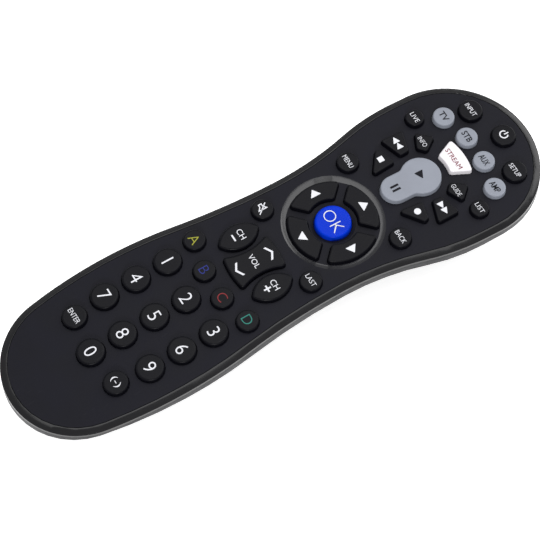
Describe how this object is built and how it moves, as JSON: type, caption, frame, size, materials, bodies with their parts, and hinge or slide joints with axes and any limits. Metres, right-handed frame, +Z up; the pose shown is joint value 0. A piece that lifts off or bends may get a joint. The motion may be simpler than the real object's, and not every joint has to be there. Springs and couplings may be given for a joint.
{
  "type": "universal remote control",
  "caption": "Waisted hand-held remote control with an arched matte key face in a gloss bezel, press keys, rockers, a dished direction pad and a battery bay with a hinged door.",
  "frame": {"origin": "centre of the footprint, on the surface that the remote lies on", "axes": "+Y from the keypad end to the head, +X to the right of the key face, +Z up out of the key face"},
  "size_m": [0.0584, 0.1954, 0.0257],
  "materials": {
    "face": "matte",
    "bezel": "gloss",
    "housing": "fine matte texture",
    "window": "gloss, dark infra-red filter",
    "key_black": "satin",
    "key_grey": "satin",
    "key_white": "satin",
    "key_blue": "satin",
    "mat": "matte silicone",
    "board": "solder mask",
    "chip": "matte",
    "emitter": "clear resin",
    "cell": "plain wrap",
    "contact": "nickel plated",
    "screw": "zinc plated"
  },
  "bodies": {
    "case": {"bottom_housing": "housing", "top_bezel": "bezel", "face_plate": "face", "ir_window": "window", "keypad_mat": "mat", "circuit_board": "board", "control_chip": "chip", "ir_emitter": "emitter", "left_cell": "cell", "right_cell": "cell", "bridge_contact": "contact", "positive_contact": "contact", "negative_contact": "contact", "case_screw": "screw"},
    "power": {"power_key": "key_black"},
    "ok": {"ok_key": "key_blue"},
    "digit_0": {"digit_0_key": "key_black"},
    "stream": {"stream_key": "key_white"},
    "digit_1": {"digit_1_key": "key_black"},
    "digit_2": {"digit_2_key": "key_black"},
    "digit_3": {"digit_3_key": "key_black"},
    "digit_4": {"digit_4_key": "key_black"},
    "digit_5": {"digit_5_key": "key_black"},
    "digit_6": {"digit_6_key": "key_black"},
    "digit_7": {"digit_7_key": "key_black"},
    "digit_8": {"digit_8_key": "key_black"},
    "digit_9": {"digit_9_key": "key_black"},
    "enter": {"enter_key": "key_black"},
    "dash": {"dash_key": "key_black"},
    "letter_a": {"letter_a_key": "key_black"},
    "letter_d": {"letter_d_key": "key_black"},
    "letter_b": {"letter_b_key": "key_black"},
    "letter_c": {"letter_c_key": "key_black"},
    "menu": {"menu_key": "key_black"},
    "back": {"back_key": "key_black"},
    "mute": {"mute_key": "key_black"},
    "last": {"last_key": "key_black"},
    "live": {"live_key": "key_black"},
    "list": {"list_key": "key_black"},
    "device_1": {"device_1_key": "key_grey"},
    "device_4": {"device_4_key": "key_grey"},
    "device_2": {"device_2_key": "key_grey"},
    "device_3": {"device_3_key": "key_grey"},
    "input": {"input_key": "key_black"},
    "setup": {"setup_key": "key_black"},
    "info": {"info_key": "key_black"},
    "guide": {"guide_key": "key_black"},
    "rewind": {"rewind_key": "key_black"},
    "fast_forward": {"fast_forward_key": "key_black"},
    "stop": {"stop_key": "key_black"},
    "record": {"record_key": "key_black"},
    "channel_down": {"channel_down_key": "key_black"},
    "channel_up": {"channel_up_key": "key_black"},
    "up": {"up_key": "key_black"},
    "left": {"left_key": "key_black"},
    "down": {"down_key": "key_black"},
    "right": {"right_key": "key_black"},
    "volume": {"volume_key": "key_black"},
    "play_pause": {"play_pause_key": "key_grey"},
    "door": {"battery_door": "housing"}
  },
  "joints": [
    {"name": "power_press", "type": "slide", "parent": "case", "child": "power", "axis": [0, -0.0947, -0.9955], "range_m": [0, 0.0008], "stiffness_N_per_m": 900, "springref_m": -0.0004},
    {"name": "ok_press", "type": "slide", "parent": "case", "child": "ok", "axis": [0, -0.0315, -0.9995], "range_m": [0, 0.0008], "stiffness_N_per_m": 900, "springref_m": -0.0004},
    {"name": "digit_0_press", "type": "slide", "parent": "case", "child": "digit_0", "axis": [0, 0.0634, -0.998], "range_m": [0, 0.0008], "stiffness_N_per_m": 900, "springref_m": -0.0004},
    {"name": "stream_press", "type": "slide", "parent": "case", "child": "stream", "axis": [0, -0.0789, -0.9969], "range_m": [0, 0.0008], "stiffness_N_per_m": 900, "springref_m": -0.0004},
    {"name": "digit_1_press", "type": "slide", "parent": "case", "child": "digit_1", "axis": [0, 0.0159, -0.9999], "range_m": [0, 0.0008], "stiffness_N_per_m": 900, "springref_m": -0.0004},
    {"name": "digit_2_press", "type": "slide", "parent": "case", "child": "digit_2", "axis": [0, 0.0318, -0.9995], "range_m": [0, 0.0008], "stiffness_N_per_m": 900, "springref_m": -0.0004},
    {"name": "digit_3_press", "type": "slide", "parent": "case", "child": "digit_3", "axis": [0, 0.0159, -0.9999], "range_m": [0, 0.0008], "stiffness_N_per_m": 900, "springref_m": -0.0004},
    {"name": "digit_4_press", "type": "slide", "parent": "case", "child": "digit_4", "axis": [0, 0.0318, -0.9995], "range_m": [0, 0.0008], "stiffness_N_per_m": 900, "springref_m": -0.0004},
    {"name": "digit_5_press", "type": "slide", "parent": "case", "child": "digit_5", "axis": [0, 0.0318, -0.9995], "range_m": [0, 0.0008], "stiffness_N_per_m": 900, "springref_m": -0.0004},
    {"name": "digit_6_press", "type": "slide", "parent": "case", "child": "digit_6", "axis": [0, 0.0318, -0.9995], "range_m": [0, 0.0008], "stiffness_N_per_m": 900, "springref_m": -0.0004},
    {"name": "digit_7_press", "type": "slide", "parent": "case", "child": "digit_7", "axis": [0, 0.0476, -0.9989], "range_m": [0, 0.0008], "stiffness_N_per_m": 900, "springref_m": -0.0004},
    {"name": "digit_8_press", "type": "slide", "parent": "case", "child": "digit_8", "axis": [0, 0.0476, -0.9989], "range_m": [0, 0.0008], "stiffness_N_per_m": 900, "springref_m": -0.0004},
    {"name": "digit_9_press", "type": "slide", "parent": "case", "child": "digit_9", "axis": [0, 0.0476, -0.9989], "range_m": [0, 0.0008], "stiffness_N_per_m": 900, "springref_m": -0.0004},
    {"name": "enter_press", "type": "slide", "parent": "case", "child": "enter", "axis": [0, 0.0634, -0.998], "range_m": [0, 0.0008], "stiffness_N_per_m": 900, "springref_m": -0.0004},
    {"name": "dash_press", "type": "slide", "parent": "case", "child": "dash", "axis": [0, 0.0634, -0.998], "range_m": [0, 0.0008], "stiffness_N_per_m": 900, "springref_m": -0.0004},
    {"name": "letter_a_press", "type": "slide", "parent": "case", "child": "letter_a", "axis": [0, 0.0159, -0.9999], "range_m": [0, 0.0008], "stiffness_N_per_m": 900, "springref_m": -0.0004},
    {"name": "letter_d_press", "type": "slide", "parent": "case", "child": "letter_d", "axis": [0, 0.0159, -0.9999], "range_m": [0, 0.0008], "stiffness_N_per_m": 900, "springref_m": -0.0004},
    {"name": "letter_b_press", "type": "slide", "parent": "case", "child": "letter_b", "axis": [0, 0.0159, -0.9999], "range_m": [0, 0.0008], "stiffness_N_per_m": 900, "springref_m": -0.0004},
    {"name": "letter_c_press", "type": "slide", "parent": "case", "child": "letter_c", "axis": [0, 0.0159, -0.9999], "range_m": [0, 0.0008], "stiffness_N_per_m": 900, "springref_m": -0.0004},
    {"name": "menu_press", "type": "slide", "parent": "case", "child": "menu", "axis": [0, -0.0473, -0.9989], "range_m": [0, 0.0008], "stiffness_N_per_m": 900, "springref_m": -0.0004},
    {"name": "back_press", "type": "slide", "parent": "case", "child": "back", "axis": [0, -0.0473, -0.9989], "range_m": [0, 0.0008], "stiffness_N_per_m": 900, "springref_m": -0.0004},
    {"name": "mute_press", "type": "slide", "parent": "case", "child": "mute", "axis": [0, -0.0157, -0.9999], "range_m": [0, 0.0008], "stiffness_N_per_m": 900, "springref_m": -0.0004},
    {"name": "last_press", "type": "slide", "parent": "case", "child": "last", "axis": [0, -0.0157, -0.9999], "range_m": [0, 0.0008], "stiffness_N_per_m": 900, "springref_m": -0.0004},
    {"name": "live_press", "type": "slide", "parent": "case", "child": "live", "axis": [0, -0.0789, -0.9969], "range_m": [0, 0.0008], "stiffness_N_per_m": 900, "springref_m": -0.0004},
    {"name": "list_press", "type": "slide", "parent": "case", "child": "list", "axis": [0, -0.0789, -0.9969], "range_m": [0, 0.0008], "stiffness_N_per_m": 900, "springref_m": -0.0004},
    {"name": "device_1_press", "type": "slide", "parent": "case", "child": "device_1", "axis": [0, -0.0789, -0.9969], "range_m": [0, 0.0008], "stiffness_N_per_m": 900, "springref_m": -0.0004},
    {"name": "device_4_press", "type": "slide", "parent": "case", "child": "device_4", "axis": [0, -0.0789, -0.9969], "range_m": [0, 0.0008], "stiffness_N_per_m": 900, "springref_m": -0.0004},
    {"name": "device_2_press", "type": "slide", "parent": "case", "child": "device_2", "axis": [0, -0.0789, -0.9969], "range_m": [0, 0.0008], "stiffness_N_per_m": 900, "springref_m": -0.0004},
    {"name": "device_3_press", "type": "slide", "parent": "case", "child": "device_3", "axis": [0, -0.0789, -0.9969], "range_m": [0, 0.0008], "stiffness_N_per_m": 900, "springref_m": -0.0004},
    {"name": "input_press", "type": "slide", "parent": "case", "child": "input", "axis": [0, -0.0947, -0.9955], "range_m": [0, 0.0008], "stiffness_N_per_m": 900, "springref_m": -0.0004},
    {"name": "setup_press", "type": "slide", "parent": "case", "child": "setup", "axis": [0, -0.0947, -0.9955], "range_m": [0, 0.0008], "stiffness_N_per_m": 900, "springref_m": -0.0004},
    {"name": "info_press", "type": "slide", "parent": "case", "child": "info", "axis": [0, -0.0631, -0.998], "range_m": [0, 0.0008], "stiffness_N_per_m": 900, "springref_m": -0.0004},
    {"name": "guide_press", "type": "slide", "parent": "case", "child": "guide", "axis": [0, -0.0631, -0.998], "range_m": [0, 0.0008], "stiffness_N_per_m": 900, "springref_m": -0.0004},
    {"name": "rewind_press", "type": "slide", "parent": "case", "child": "rewind", "axis": [0, -0.0631, -0.998], "range_m": [0, 0.0008], "stiffness_N_per_m": 900, "springref_m": -0.0004},
    {"name": "fast_forward_press", "type": "slide", "parent": "case", "child": "fast_forward", "axis": [0, -0.0631, -0.998], "range_m": [0, 0.0008], "stiffness_N_per_m": 900, "springref_m": -0.0004},
    {"name": "stop_press", "type": "slide", "parent": "case", "child": "stop", "axis": [0, -0.0473, -0.9989], "range_m": [0, 0.0008], "stiffness_N_per_m": 900, "springref_m": -0.0004},
    {"name": "record_press", "type": "slide", "parent": "case", "child": "record", "axis": [0, -0.0473, -0.9989], "range_m": [0, 0.0008], "stiffness_N_per_m": 900, "springref_m": -0.0004},
    {"name": "channel_down_press", "type": "slide", "parent": "case", "child": "channel_down", "axis": [0, 0.0001, -1], "range_m": [0, 0.0008], "stiffness_N_per_m": 900, "springref_m": -0.0004},
    {"name": "channel_up_press", "type": "slide", "parent": "case", "child": "channel_up", "axis": [0, 0.0001, -1], "range_m": [0, 0.0008], "stiffness_N_per_m": 900, "springref_m": -0.0004},
    {"name": "up_press", "type": "slide", "parent": "case", "child": "up", "axis": [0, -0.0315, -0.9995], "range_m": [0, 0.0008], "stiffness_N_per_m": 900, "springref_m": -0.0004},
    {"name": "left_press", "type": "slide", "parent": "case", "child": "left", "axis": [0, -0.0315, -0.9995], "range_m": [0, 0.0008], "stiffness_N_per_m": 900, "springref_m": -0.0004},
    {"name": "down_press", "type": "slide", "parent": "case", "child": "down", "axis": [0, -0.0315, -0.9995], "range_m": [0, 0.0008], "stiffness_N_per_m": 900, "springref_m": -0.0004},
    {"name": "right_press", "type": "slide", "parent": "case", "child": "right", "axis": [0, -0.0315, -0.9995], "range_m": [0, 0.0008], "stiffness_N_per_m": 900, "springref_m": -0.0004},
    {"name": "volume_rock", "type": "hinge", "parent": "case", "child": "volume", "pos_m": [0, -0.0078, 0.02302], "axis": [1, 0, 0], "range_deg": [-2.5, 2.5], "stiffness_Nm_per_rad": 0.18},
    {"name": "play_pause_rock", "type": "hinge", "parent": "case", "child": "play_pause", "pos_m": [0, 0.05069, 0.02136], "axis": [1, 0, 0], "range_deg": [-2.5, 2.5], "stiffness_Nm_per_rad": 0.18},
    {"name": "door_hinge", "type": "hinge", "parent": "case", "child": "door", "pos_m": [0, -0.0795, 0], "axis": [-1, 0, 0], "range_deg": [0, 60]}
  ]
}
